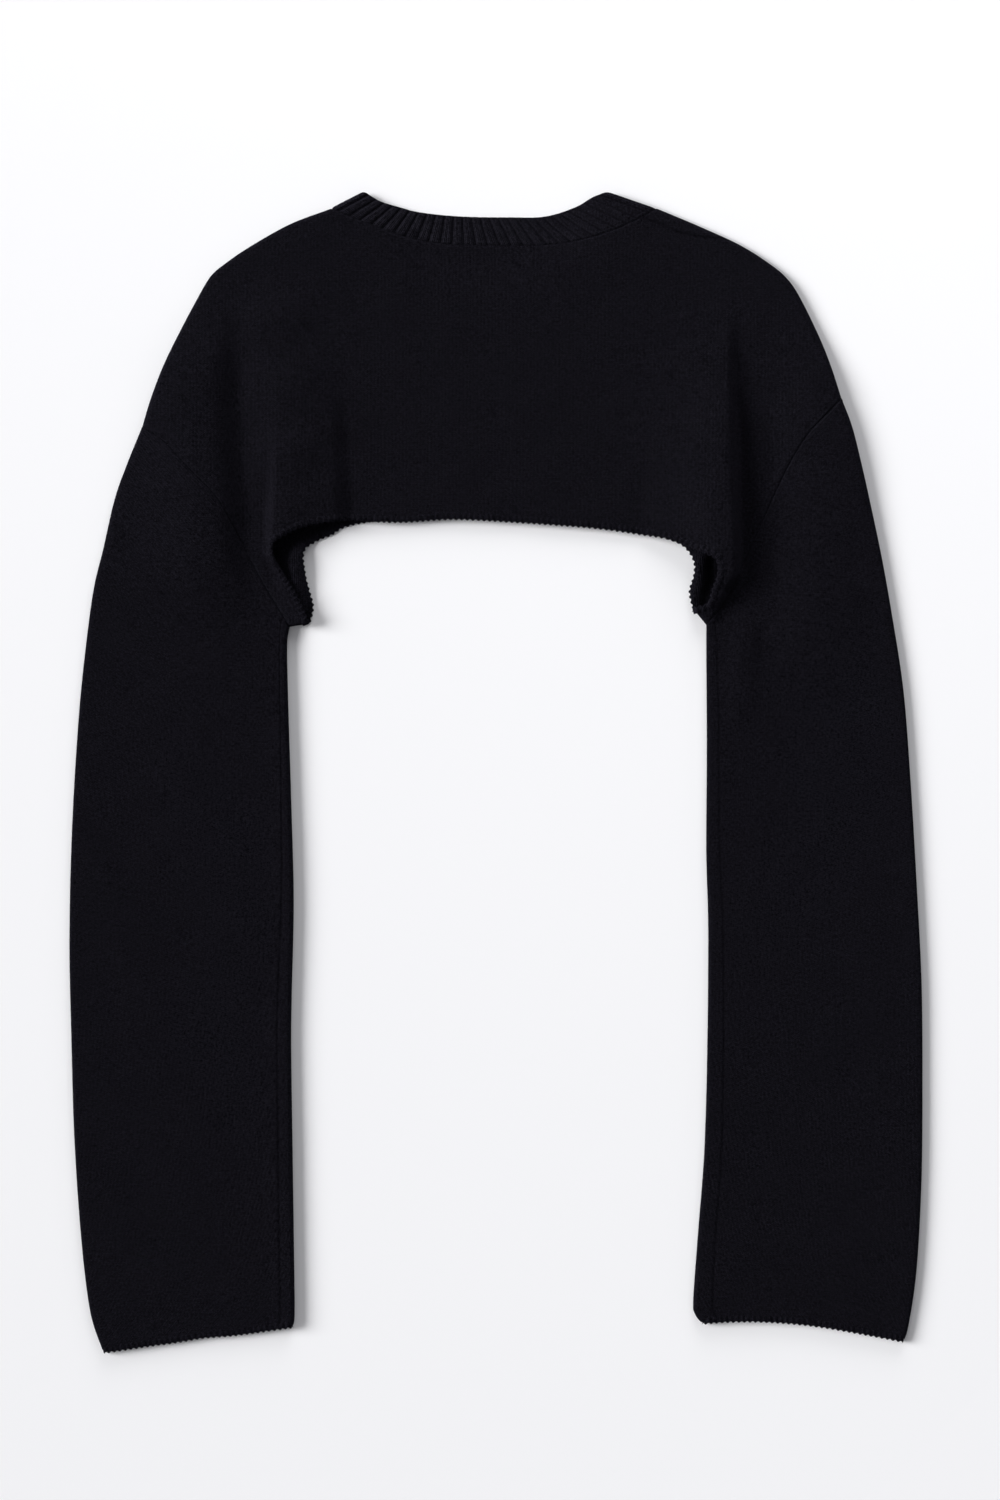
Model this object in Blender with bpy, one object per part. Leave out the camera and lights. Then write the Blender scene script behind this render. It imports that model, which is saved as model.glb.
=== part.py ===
"""Cropped long-sleeved sweater of near-black wool, lying flat with its back up.

The body is two panels, a back above and a front below, joined along the folded
shoulder edges and at two short sides. A tube of a sleeve is set into each
armhole, and a ribbed band closes the neck. Everything below is worked out in
millimetres, with the cuffs towards -Y, the neck towards +Y and the surface the
sweater lies on at Z = 0. The meshes are written in metres.
"""
import math
from collections import namedtuple

import bmesh
import bpy
import numpy as np
from mathutils import Vector

METRE = 0.001
QUARTER = math.pi / 2

# Cloth, in millimetres
WALL = 2.2                # one layer of the body's knit
SEAM_GAP = 0.3            # room between two pieces at a seam
EDGE_RADIUS = 4.0         # outer radius of a folded edge
MID_HEIGHT = 6.4          # both layers together, away from the folded edges
LEAST_HEIGHT = 5.2        # both layers pressed together in a trough
EDGE_FADE = 16.0          # how fast a folded edge's fullness dies down
WELT_RISE = 0.4           # how far the turned edge stands out
WELT_DEPTH = 4.5          # its depth, measured up from the hem or cuff
WELT_STEP = 0.8           # the slope beside it
HALF_GAP = SEAM_GAP / 2

# How many steps each piece takes
FOLD_STEPS = 3            # a quarter turn of a folded edge
ARMHOLE_STEPS = 7
OUTLINE_STEPS = 12
NECK_STEPS = 16           # straight stretches of a neck seam, shared by the panel and the band
BACK_STEPS = 11
FRONT_STEPS = 6
SLEEVE_STEPS = 22

# Neckband, knitted double, with ribs raised over a plain inside
RIB_COUNT = 68
RIB_RISE = 0.8
BAND_DEPTH = 2.8          # from a rib's crest to the band's plain inside
BAND_LIFT = 0.5           # how far the crests stand above the back panel
RIB_PROFILE = (0.0, 1.0, 1.0, 0.0)    # rise at each quarter of one rib and furrow
BAND_ROWS = ((0.0, 0.3), (0.08, 1.0), (0.92, 1.0), (1.0, 0.5))    # place up the band, share of the rise

# The front neckline, hidden under the back, as two half ellipses: centre, half width and drop
FRONT_EDGE = {"centre": (-7.2, 417.3), "half_width": 87.8, "drop": 77.0}
FRONT_SEAM = {"centre": (-1.45, 405.0), "half_width": 117.35, "drop": 85.0}
NECK_SAG = 3.0            # the back sinks this far where no front lies under it

# Outlines seen from above, as (x, y): each runs between the two places that its name gives
NECK_TO_ARMHOLE = {
    "left": ((-118.8, 405.0), (-148.3, 393.8), (-177.1, 377.6), (-194.4, 365.8), (-205.2, 356.4),
             (-214.6, 340.6), (-226.8, 317.5), (-239.0, 292.3), (-248.4, 267.8), (-254.2, 248.4)),
    "right": ((115.9, 405.0), (146.9, 392.0), (175.7, 378.7), (197.3, 365.0), (209.5, 354.6),
              (218.9, 340.6), (232.6, 312.5), (241.2, 290.9), (248.4, 268.6)),
}
ARMHOLE_TO_CUFF = {
    "left": ((-254.2, 248.4), (-265.7, 220.3), (-274.3, 195.8), (-282.2, 161.3), (-289.4, 131.0),
             (-295.2, 87.8), (-300.2, 37.4), (-304.9, -41.8), (-306.7, -121.0), (-305.3, -193.0),
             (-303.1, -265.0), (-298.1, -337.0), (-291.6, -388.8), (-282.2, -417.6)),
    "right": ((248.4, 268.6), (256.3, 247.7), (263.5, 218.9), (269.3, 193.0), (277.2, 155.5),
              (284.4, 115.2), (293.0, 59.0), (298.1, -5.8), (302.4, -77.8), (306.0, -149.8),
              (306.7, -218.2), (306.0, -293.8), (302.4, -358.6), (296.6, -398.2), (293.0, -409.7)),
}
UNDERARM_TO_CUFF = {
    "left": ((-148.3, 104.4), (-150.1, 91.4), (-149.4, 51.8), (-147.2, -20.2), (-145.4, -92.2),
             (-146.9, -164.2), (-147.2, -200.2), (-146.2, -272.2), (-145.4, -329.8),
             (-144.7, -387.4), (-145.8, -398.9)),
    "right": ((151.2, 105.8), (151.2, 87.8), (151.6, 15.8), (151.2, -56.2), (152.6, -113.8),
              (151.9, -200.2), (149.8, -272.2), (145.4, -329.8), (141.8, -380.2),
              (143.3, -390.2), (148.3, -396.7)),
}
ARMHOLE_SEAM = {
    "left": ((-254.2, 248.4), (-237.6, 236.9), (-226.1, 224.6), (-214.6, 212.4), (-203.8, 201.6),
             (-195.1, 188.6), (-170.6, 141.8), (-148.3, 104.4)),
    "right": ((248.4, 268.6), (236.9, 256.3), (224.6, 243.4), (214.6, 228.2), (207.4, 214.6),
              (200.2, 199.4), (195.1, 187.9), (179.3, 152.6), (164.9, 123.8), (151.2, 105.8)),
}
CUFF_EDGE = {
    "left": ((-282.2, -417.6), (-253.4, -413.3), (-227.5, -409.7), (-210.2, -406.8),
             (-184.3, -404.6), (-145.8, -398.9)),
    "right": ((293.0, -409.7), (262.1, -403.9), (227.5, -398.2), (193.0, -395.3),
              (167.0, -395.3), (148.3, -396.7)),
}
# The neckband's two edges on the back, from the left fold to the right fold
BACK_SEAM = ((-118.8, 405.0), (-97.9, 396.7), (-77.8, 388.8), (-61.9, 383.8), (-40.3, 380.2),
             (-4.3, 378.7), (31.7, 378.7), (56.9, 381.6), (75.6, 386.4), (95.8, 394.0), (115.9, 405.0))
BACK_EDGE = ((-95.0, 417.3), (-83.5, 410.4), (-69.1, 406.1), (-54.7, 402.5), (-25.9, 399.6),
             (10.1, 398.9), (35.3, 399.6), (56.9, 406.1), (69.1, 412.9), (80.6, 417.3))
# The hem of each layer, from the side fold round its corner towards the middle of the body
HEM = {
    ("back", "left"): ((-133.9, 106.6), (-137.5, 115.9), (-144.0, 129.6), (-152.6, 143.3), (-158.4, 152.6),
                       (-159.5, 162.7), (-149.8, 169.9), (-138.2, 175.3), (-121.0, 178.9), (-103.7, 180.4)),
    ("back", "right"): ((141.1, 118.1), (151.2, 121.0), (154.8, 131.0), (158.4, 142.6), (157.0, 151.9),
                        (147.6, 157.0), (138.2, 160.6), (124.6, 166.7), (103.7, 170.6)),
    ("front", "left"): ((-133.9, 106.6), (-131.4, 118.8), (-134.3, 131.0), (-136.8, 141.1),
                        (-137.9, 158.4), (-128.9, 166.0), (-118.1, 170.6), (-108.0, 176.4)),
    ("front", "right"): ((141.1, 118.1), (139.0, 129.6), (142.2, 141.8), (141.8, 152.6),
                         (135.4, 162.0), (125.3, 167.0), (103.7, 172.8)),
}
HEM_BELOW_ARMHOLE = 0.77  # the share of that line which faces the armhole
HEM_MIDDLE = {
    "back": ((-103.7, 180.4), (-69.1, 179.3), (-33.1, 181.4), (2.9, 180.0), (46.1, 177.1),
             (74.9, 174.6), (103.7, 170.6)),
    "front": ((-108.0, 176.4), (-83.5, 180.7), (-33.1, 183.2), (46.1, 180.0), (103.7, 172.8)),
}

# Folds of the upper layer, a row each. Knots run towards the neck: y, then the fold's x and its
# height there. The last two are its half widths towards -X and +X.
Fold = namedtuple("Fold", "name ys xs heights west east")
FOLDS = (
    Fold("hem ridge, left", (104, 128, 160, 181, 210, 268, 347),
         (-136, -149, -162, -156, -157, -168, -184), (0.0, 2.0, 7.5, 8.5, 6.5, 3.0, 0.0), 11, 26),
    Fold("hem ridge, right", (104, 128, 152, 181, 232, 318, 350),
         (152, 163, 167, 164, 157, 147, 143), (0.0, 3.0, 8.0, 9.0, 6.5, 1.5, 0.0), 30, 8),
    Fold("sleeve swell, left", (140, 196, 253, 311), (-195, -207, -215, -210), (0.0, 3.0, 3.0, 0.0), 28, 13),
    Fold("sleeve swell, right", (110, 167, 217, 268, 330), (208, 216, 222, 226, 214),
         (0.0, 3.0, 3.4, 2.2, 0.0), 15, 28),
    Fold("armhole trough, left", (150, 200, 300, 360), (-180, -178, -181, -190), (0.0, -1.6, -1.2, 0.0), 9, 9),
    Fold("armhole trough, right", (110, 170, 240, 320), (184, 186, 184, 178), (0.0, -1.4, -1.2, 0.0), 9, 9),
    Fold("hem crease, left", (170, 190, 240, 285), (-119, -119, -121, -123), (2.4, 2.2, 1.2, 0.0), 12, 5),
    Fold("hem crease, right", (165, 190, 240), (103, 105, 108), (-1.0, -1.0, 0.0), 8, 8),
)


def eased(place, knots, values):
    """A value between two knots, with level tangents at each knot."""
    if place <= knots[0]:
        return values[0]
    for k in range(len(knots) - 1):
        if place <= knots[k + 1]:
            t = (place - knots[k]) / (knots[k + 1] - knots[k])
            return values[k] + (values[k + 1] - values[k]) * t * t * (3 - 2 * t)
    return values[-1]


class Line:
    """A plan curve through its points, read by the distance along it: smooth, or straight if fine is 1."""

    def __init__(self, points, fine=8):
        knots = [np.array(p, dtype=float) for p in points]
        knots = [2 * knots[0] - knots[1]] + knots + [2 * knots[-1] - knots[-2]]
        track = []
        for a, b, c, d in zip(knots, knots[1:], knots[2:], knots[3:]):
            for step in range(fine):
                t = step / fine
                track.append(0.5 * (2 * b + (c - a) * t + (2 * a - 5 * b + 4 * c - d) * t * t
                                    + (3 * b - a - 3 * c + d) * t * t * t))
        track.append(knots[-2])
        self.track = np.array(track)
        steps = np.linalg.norm(np.diff(self.track, axis=0), axis=1)
        self.marks = np.concatenate(([0.0], np.cumsum(steps)))
        self.length = float(self.marks[-1])

    def at(self, distance):
        return np.array([np.interp(distance, self.marks, self.track[:, axis]) for axis in (0, 1)])

    def share(self, fraction):
        return self.at(fraction * self.length)

    def heading(self, distance):
        ahead = self.at(min(distance + 1.0, self.length)) - self.at(max(distance - 1.0, 0.0))
        return ahead / np.linalg.norm(ahead)


def half_ellipse(centre, half_width, drop, points=24):
    """A neckline's points, from its left end down round its lowest point to its right end."""
    turns = [math.pi * k / points for k in range(points + 1)]
    return [(centre[0] - half_width * math.cos(t), centre[1] - drop * math.sin(t)) for t in turns]


def in_stretches(points, count):
    """A smooth curve as equal straight stretches, so that two pieces can share its corners."""
    curve = Line(points)
    return Line([curve.share(k / count) for k in range(count + 1)], fine=1)


def crossing(a, b):
    """The sine of the angle between two headings."""
    return abs(a[0] * b[1] - a[1] * b[0])


SIDES = ("left", "right")
OUTLINE = {side: Line(NECK_TO_ARMHOLE[side]) for side in SIDES}
OUTER = {side: Line(ARMHOLE_TO_CUFF[side]) for side in SIDES}
INNER = {side: Line(UNDERARM_TO_CUFF[side]) for side in SIDES}
ARMHOLE = {side: Line(ARMHOLE_SEAM[side]) for side in SIDES}
CUFF = {side: Line(CUFF_EDGE[side]) for side in SIDES}
SIDE_FOLD = {side: Line((UNDERARM_TO_CUFF[side][0], HEM["back", side][0])) for side in SIDES}
TIP_FOLD = {"left": Line((BACK_SEAM[0], BACK_EDGE[0])), "right": Line((BACK_SEAM[-1], BACK_EDGE[-1]))}
NECK_SEAM = {"back": in_stretches(BACK_SEAM, NECK_STEPS),
             "front": in_stretches(half_ellipse(**FRONT_SEAM), NECK_STEPS)}
NECK_EDGE = {"back": Line(BACK_EDGE), "front": Line(half_ellipse(**FRONT_EDGE))}

FOLDED_LINES = [lines[side] for lines in (OUTLINE, OUTER, INNER, SIDE_FOLD, TIP_FOLD) for side in SIDES]
FOLD_STARTS = np.vstack([line.track[:-1] for line in FOLDED_LINES])
FOLD_RUNS = np.vstack([np.diff(line.track, axis=0) for line in FOLDED_LINES])


def edge_distance(point):
    """The plan distance from a point to the nearest folded edge."""
    t = np.sum((point - FOLD_STARTS) * FOLD_RUNS, axis=1) / np.sum(FOLD_RUNS * FOLD_RUNS, axis=1)
    nearest = FOLD_STARTS + np.clip(t, 0, 1)[:, None] * FOLD_RUNS
    return float(np.min(np.linalg.norm(nearest - point, axis=1)))


def top_height(point):
    """The height of the garment's upper face over a plan point, away from its rounded edges."""
    x, y = point
    away = max(0.0, edge_distance(point) - EDGE_RADIUS)
    height = MID_HEIGHT + (2 * EDGE_RADIUS - MID_HEIGHT) * math.exp(-away / EDGE_FADE)
    for fold in FOLDS:
        if fold.ys[0] < y < fold.ys[-1]:
            across = x - eased(y, fold.ys, fold.xs)
            width = fold.west if across < 0 else fold.east
            height += eased(y, fold.ys, fold.heights) * math.exp(-(across / width) ** 2)
    height = max(height, LEAST_HEIGHT)
    (cx, cy), half_width, drop = FRONT_EDGE["centre"], FRONT_EDGE["half_width"], FRONT_EDGE["drop"]
    neck_share = math.hypot((x - cx) / half_width, (y - cy) / drop)
    return height - NECK_SAG * eased(neck_share, (0.6, 1.05), (1.0, 0.0))


def edge_inset(turn, depth):
    """How far in from a folded edge the cloth lies, at an angle up from its outermost line."""
    return EDGE_RADIUS - (EDGE_RADIUS - depth) * math.cos(turn)


def cloth_point(plan, turn, depth, layer, clear=0.0):
    """A point of the cloth: depth 0 is its outer face, and layer is +1 above and -1 below."""
    reach = (top_height(plan) - EDGE_RADIUS if layer > 0 else EDGE_RADIUS) - depth
    rise = clear + (reach - clear) * math.sin(turn)
    return Vector((plan[0], plan[1], EDGE_RADIUS + layer * rise))


def quarter_turns(first=0):
    return [QUARTER * k / FOLD_STEPS for k in range(first, FOLD_STEPS + 1)]


def underarm_place(seam, turn, depth):
    """The distance along an armhole seam of a point near the underarm."""
    return seam.length - 1.3 * edge_inset(turn, depth)


def outline_place(side, turn, depth):
    """The distance along an armhole seam of a point near the sweater's outline."""
    slant = crossing(ARMHOLE[side].heading(0.0), OUTER[side].heading(0.0))
    return edge_inset(turn, depth) / slant


def armhole_point(side, distance, towards_body):
    """A point beside an armhole seam, half the seam's gap away from it."""
    seam = ARMHOLE[side]
    ahead = seam.heading(distance)
    body_side = np.array([-ahead[1], ahead[0]]) * (1 if side == "left" else -1)
    return seam.at(distance) + body_side * (HALF_GAP if towards_body else -HALF_GAP)


def neck_place(panel, side, turn, depth):
    """The distance along a neck seam of a point near one of its ends."""
    seam = NECK_SEAM[panel]
    end = 0.0 if side == "left" else seam.length
    inset = edge_inset(turn, depth) / crossing(seam.heading(end), OUTLINE[side].heading(0.0))
    return inset if side == "left" else seam.length - inset


def neck_point(panel, distance, towards_body):
    """A point beside the neckband's seam, half the seam's gap away from it."""
    seam = NECK_SEAM[panel]
    ahead = seam.heading(distance)
    return seam.at(distance) + np.array([ahead[1], -ahead[0]]) * (HALF_GAP if towards_body else -HALF_GAP)


# One section of a panel, a straight line in plan from its top to the hem. turn is how far round the
# folded outline its top lies, and side_turn how far round the short side fold the whole section lies.
# top and hem give a plan point at a depth in the cloth, and outline is the heading of the folded edge.
Section = namedtuple("Section", "top hem turn side_turn outline")


def half_sections(panel, side):
    """Sections from the side fold up the armhole and along the outline to the neckband."""
    hem, middle, outline = Line(HEM[panel, side]), Line(HEM_MIDDLE[panel]), OUTLINE[side]
    first_hem = edge_inset(QUARTER, 0.0)
    below_armhole = HEM_BELOW_ARMHOLE * hem.length
    lowest = underarm_place(ARMHOLE[side], QUARTER, 0.0)
    highest = outline_place(side, QUARTER, 0.0)

    def hem_facing(place):
        return first_hem + (below_armhole - first_hem) * (lowest - place) / lowest

    sections = []
    for turn in quarter_turns():
        sections.append(Section(
            lambda depth, turn=turn: armhole_point(side, underarm_place(ARMHOLE[side], turn, depth), True),
            lambda depth, turn=turn: hem.at(edge_inset(turn, depth)), QUARTER, turn, None))
    for k in range(1, ARMHOLE_STEPS + 1):
        place = lowest + (highest - lowest) * k / ARMHOLE_STEPS
        sections.append(Section(lambda depth, place=place: armhole_point(side, place, True),
                                lambda depth, place=place: hem.at(hem_facing(place)), QUARTER, QUARTER, None))
    for turn in quarter_turns(1)[-2::-1]:
        sections.append(Section(
            lambda depth, turn=turn: armhole_point(side, outline_place(side, turn, depth), True),
            lambda depth, turn=turn: hem.at(hem_facing(outline_place(side, turn, 0.0))),
            turn, QUARTER, outline.heading(outline.length)))
    for k in range(OUTLINE_STEPS + 1):
        place = (outline.length - HALF_GAP) + (2 * HALF_GAP - outline.length) * k / OUTLINE_STEPS
        hem_share = HEM_BELOW_ARMHOLE + (1 - HEM_BELOW_ARMHOLE) * k / OUTLINE_STEPS
        sections.append(Section(lambda depth, place=place: outline.at(place),
                                lambda depth, hem_share=hem_share: hem.share(hem_share),
                                0.0, QUARTER, outline.heading(place)))
    for k, turn in enumerate(quarter_turns(1), start=1):
        share = 0.01 * k if side == "left" else 1 - 0.01 * k
        sections.append(Section(
            lambda depth, turn=turn: neck_point(panel, neck_place(panel, side, turn, depth), True),
            lambda depth, share=share: middle.share(share), turn, QUARTER, outline.heading(0.0)))
    return sections


def neck_sections(panel):
    """Sections under the neckband, between its two folds."""
    middle = Line(HEM_MIDDLE[panel])
    sections = []
    for k in range(1, NECK_STEPS):
        place = NECK_SEAM[panel].marks[k]
        share = 0.03 + 0.94 * k / NECK_STEPS
        sections.append(Section(lambda depth, place=place: neck_point(panel, place, True),
                                lambda depth, share=share: middle.share(share), QUARTER, QUARTER, None))
    return sections


def section_side(section, layer, face, steps, welt):
    """One face of a section, from its top to the hem: face is 0 outside and WALL inside."""
    top, hem = section.top(face), section.hem(face)
    heading = (hem - top) / np.linalg.norm(hem - top)
    points = []
    plan = top
    for k in range(FOLD_STEPS + 1):
        turn = section.turn + (QUARTER - section.turn) * k / FOLD_STEPS
        if section.outline is None:
            plan = top + heading * 1.2 * k
        else:
            slant = max(0.5, crossing(heading, section.outline))
            moved = edge_inset(turn, face) - (edge_inset(section.turn, face) if section.turn > 0 else 0.0)
            plan = top + heading * (moved / slant + 0.3 * k)
        turn = min(turn, section.side_turn)
        clear = HALF_GAP if turn < QUARTER else 0.0
        points.append(cloth_point(plan, turn, face, layer, clear))
    run = hem - plan
    length = np.linalg.norm(run)
    welt_depth = min(WELT_DEPTH, 0.35 * length) if welt else 0.0
    plain = length - welt_depth - (WELT_STEP if welt else 0.0)
    stops = [(plain * k / steps, 0.0) for k in range(1, steps + 1)]
    if welt:
        stops += [(length - welt_depth, WELT_RISE), (length, WELT_RISE)]
    for stop, rise in stops:
        depth = face - (rise if face == 0 else 0.0)
        clear = HALF_GAP if section.side_turn < QUARTER else 0.0
        points.append(cloth_point(plan + run * stop / length, section.side_turn, depth, layer, clear))
    return points


def body_panel(name, panel, layer, steps, welt, material):
    left, right = half_sections(panel, "left"), half_sections(panel, "right")
    sections = left + neck_sections(panel) + right[::-1]
    loops = [section_side(section, layer, 0.0, steps, welt)
             + section_side(section, layer, WALL, steps, welt)[::-1] for section in sections]
    return skin(name, loops, material, wrap=False)


def skin(name, loops, material, wrap):
    """One closed solid from closed loops of points, bridged in order."""
    bm = bmesh.new()
    rings = [[bm.verts.new(point * METRE) for point in loop] for loop in loops]
    pairs = list(zip(rings, rings[1:]))
    if wrap:
        pairs.append((rings[-1], rings[0]))
    for here, there in pairs:
        for k in range(len(here)):
            after = (k + 1) % len(here)
            bm.faces.new((here[k], here[after], there[after], there[k]))
    if not wrap:
        for end in (rings[0], rings[-1]):
            for k in range(len(end) // 2 - 1):
                bm.faces.new((end[k], end[k + 1], end[-2 - k], end[-1 - k]))
    bmesh.ops.recalc_face_normals(bm, faces=bm.faces)
    mesh = bpy.data.meshes.new(name)
    bm.to_mesh(mesh)
    bm.free()
    mesh.shade_smooth()
    mesh.set_sharp_from_angle(angle=math.radians(50))
    mesh.materials.append(material)
    piece = bpy.data.objects.new(name, mesh)
    bpy.context.collection.objects.link(piece)
    return piece


def sleeve_line(side, share):
    """A ring of the sleeve in plan: from its outer edge to its inner edge, read by a share of its width."""
    outer, inner = OUTER[side].share(share), INNER[side].share(share)
    seam_pull = eased(share, (0.0, 0.4), (1.0, 0.0))
    cuff_pull = eased(share, (0.7, 1.0), (0.0, 1.0))

    def read(across):
        point = outer + (inner - outer) * across
        for pull, line in ((seam_pull, ARMHOLE[side]), (cuff_pull, CUFF[side])):
            start, end = line.share(0.0), line.share(1.0)
            point = point + pull * (line.share(across) - start - (end - start) * across)
        return point
    return read, float(np.linalg.norm(inner - outer))


def sleeve_stations():
    """The places round a sleeve's ring, as (turn, share of the flat part, at the inner edge, layer)."""
    stations = []
    for layer in (1, -1):
        rising = [(turn, 0.0, False, layer) for turn in quarter_turns()]
        flat = [(QUARTER, k / ARMHOLE_STEPS, False, layer) for k in range(1, ARMHOLE_STEPS)]
        falling = [(turn, 0.0, True, layer) for turn in quarter_turns()[::-1]]
        way = rising + flat + falling
        stations += way if layer > 0 else way[::-1][1:-1]
    return stations


def sleeve_plan(side, share, station, depth):
    """Where a station of the ring at a share of the sleeve's length lies in plan."""
    turn, flat, inner_edge, _ = station
    if share == 0.0:
        seam = ARMHOLE[side]
        near_outline, near_underarm = outline_place(side, QUARTER, 0.0), underarm_place(seam, QUARTER, 0.0)
        if turn == QUARTER and flat > 0.0:
            place = near_outline + (near_underarm - near_outline) * flat
        elif inner_edge:
            place = underarm_place(seam, turn, depth)
        else:
            place = outline_place(side, turn, depth)
        return armhole_point(side, place, False)
    read, width = sleeve_line(side, share)
    across = (read(1.0) - read(0.0)) / width
    outer_slant = max(0.6, crossing(across, OUTER[side].heading(share * OUTER[side].length)))
    inner_slant = max(0.6, crossing(across, INNER[side].heading(share * INNER[side].length)))
    if turn == QUARTER and flat > 0.0:
        start, end = EDGE_RADIUS / outer_slant, width - EDGE_RADIUS / inner_slant
        return read((start + (end - start) * flat) / width)
    if inner_edge:
        return read(1.0 - edge_inset(turn, depth) / inner_slant / width)
    return read(edge_inset(turn, depth) / outer_slant / width)


def sleeve(name, side, material):
    """A flattened tube, open at the armhole and at the cuff, with a welt round the cuff."""
    length = 0.5 * (OUTER[side].length + INNER[side].length)
    plain = 1 - (WELT_DEPTH + WELT_STEP) / length
    stops = [(plain * (k / SLEEVE_STEPS) ** 1.15, 0.0) for k in range(SLEEVE_STEPS + 1)]
    stops += [(1 - WELT_DEPTH / length, WELT_RISE), (1.0, WELT_RISE)]
    loops = []
    for station in sleeve_stations():
        turn, _, _, layer = station
        outside, inside = [], []
        for share, rise in stops:
            raised = rise if layer > 0 else rise * math.cos(turn)
            outside.append(cloth_point(sleeve_plan(side, share, station, -raised), turn, -raised, layer))
            inside.append(cloth_point(sleeve_plan(side, share, station, WALL), turn, WALL, layer))
        loops.append(outside + inside[::-1])
    return skin(name, loops, material, wrap=True)


def band_ends(panel, side, turn, depth):
    """The seam point and the free-edge point of the neckband near one of its folds."""
    edge, fold = NECK_EDGE[panel], TIP_FOLD[side]
    seam_point = neck_point(panel, neck_place(panel, side, turn, depth), False)
    end = 0.0 if side == "left" else edge.length
    inset = edge_inset(turn, depth) / crossing(edge.heading(end), fold.heading(0.0))
    return seam_point, edge.at(inset if side == "left" else edge.length - inset)


def band_section(panel, place, depth):
    """The two plan points of the band at a place along one layer, and how far round the fold it is."""
    seam, edge = NECK_SEAM[panel], NECK_EDGE[panel]
    fold_length = EDGE_RADIUS * QUARTER
    flat_length = band_length(panel) - 2 * fold_length
    if place < fold_length or place > fold_length + flat_length:
        side = "left" if place < fold_length else "right"
        turn = min(place, band_length(panel) - place) / EDGE_RADIUS
        return (*band_ends(panel, side, turn, depth), turn)
    share = (place - fold_length) / flat_length
    seam_first, seam_last = (neck_place(panel, side, QUARTER, 0.0) for side in SIDES)
    edge_first = np.linalg.norm(band_ends(panel, "left", QUARTER, 0.0)[1] - edge.share(0.0))
    edge_last = edge.length - np.linalg.norm(band_ends(panel, "right", QUARTER, 0.0)[1] - edge.share(1.0))
    return (neck_point(panel, seam_first + (seam_last - seam_first) * share, False),
            edge.at(edge_first + (edge_last - edge_first) * share), QUARTER)


def band_length(panel):
    """The length of one layer of the band, along its middle and up to the two folds."""
    return 0.5 * (NECK_SEAM[panel].length + NECK_EDGE[panel].length)


def neckband(name, material):
    """A closed ring of ribs: over the back from left to right, then back through the front."""
    total = band_length("back") + band_length("front")
    count = RIB_COUNT * len(RIB_PROFILE)
    loops = []
    for k in range(count):
        place = total * (k + 0.5) / count
        layer, panel = (1, "back") if place < band_length("back") else (-1, "front")
        if layer < 0:
            place = total - place
        turn = band_section(panel, place, 0.0)[2]
        lift = BAND_LIFT * 0.5 * (1 + layer * math.sin(turn))
        loop = []
        for up, share in BAND_ROWS:
            depth = RIB_RISE * (1 - share * RIB_PROFILE[k % len(RIB_PROFILE)]) - lift
            seam_point, edge_point, _ = band_section(panel, place, depth)
            loop.append(cloth_point(seam_point + (edge_point - seam_point) * up, turn, depth, layer))
        seam_point, edge_point, _ = band_section(panel, place, BAND_DEPTH)
        loop.append(cloth_point(edge_point, turn, BAND_DEPTH, layer))
        loop.append(cloth_point(seam_point, turn, BAND_DEPTH, layer))
        loops.append(loop)
    return skin(name, loops, material, wrap=True)


def wool(name, colour, roughness):
    material = bpy.data.materials.new(name)
    material.use_nodes = True
    shader = material.node_tree.nodes["Principled BSDF"]
    shader.inputs["Base Color"].default_value = (*colour, 1.0)
    shader.inputs["Roughness"].default_value = roughness
    shader.inputs["Metallic"].default_value = 0.0
    return material


for old in list(bpy.data.objects):
    bpy.data.objects.remove(old, do_unlink=True)

knit = wool("black knit", (0.008, 0.0075, 0.010), 0.95)
ribbing = wool("black ribbing", (0.010, 0.0095, 0.012), 0.95)

body_panel("back_panel", "back", 1, BACK_STEPS, True, knit)
body_panel("front_panel", "front", -1, FRONT_STEPS, False, knit)
sleeve("sleeve_left", "left", knit)
sleeve("sleeve_right", "right", knit)
neckband("neckband", ribbing)
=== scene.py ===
# %% [markdown]
# # A cropped wool sweater, laid flat
# The sweater is very short in the body and very long in the sleeves, knitted in near-black wool. It
# lies on a pale surface with its back up, and the camera looks straight down at it. In this lesson
# each piece of knitting becomes a thin shell: a grid is laid out over the piece's cut, its points are
# lifted to where the cloth lies, and a Solidify modifier gives the cloth its thickness.

import math
from collections import namedtuple
from functools import partial

import bpy
import numpy as np
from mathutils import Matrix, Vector


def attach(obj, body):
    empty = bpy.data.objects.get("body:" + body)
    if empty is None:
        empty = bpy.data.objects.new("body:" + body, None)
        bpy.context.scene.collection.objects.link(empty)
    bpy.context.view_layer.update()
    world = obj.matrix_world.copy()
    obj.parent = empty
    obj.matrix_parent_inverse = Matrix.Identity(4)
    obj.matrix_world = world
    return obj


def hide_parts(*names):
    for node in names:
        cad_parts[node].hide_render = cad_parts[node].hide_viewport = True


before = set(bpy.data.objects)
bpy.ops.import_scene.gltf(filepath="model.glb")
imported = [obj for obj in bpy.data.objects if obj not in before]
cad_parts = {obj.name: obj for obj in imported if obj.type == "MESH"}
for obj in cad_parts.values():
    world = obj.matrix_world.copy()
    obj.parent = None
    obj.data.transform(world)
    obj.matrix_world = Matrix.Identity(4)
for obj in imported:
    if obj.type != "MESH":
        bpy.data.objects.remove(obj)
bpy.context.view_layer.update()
bpy.ops.object.select_all(action="DESELECT")

# %% [markdown]
# ## The camera
# The photograph was taken from straight above, so nothing in it is foreshortened. A camera that far
# up with a long lens does the same. It comes first, because everything else is judged through it.

# %% Camera
VIEW_CENTRE = (0.0029, 0.0158)
VIEW_HEIGHT = 1.08
LENS = 85.0
SENSOR = 36.0

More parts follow.
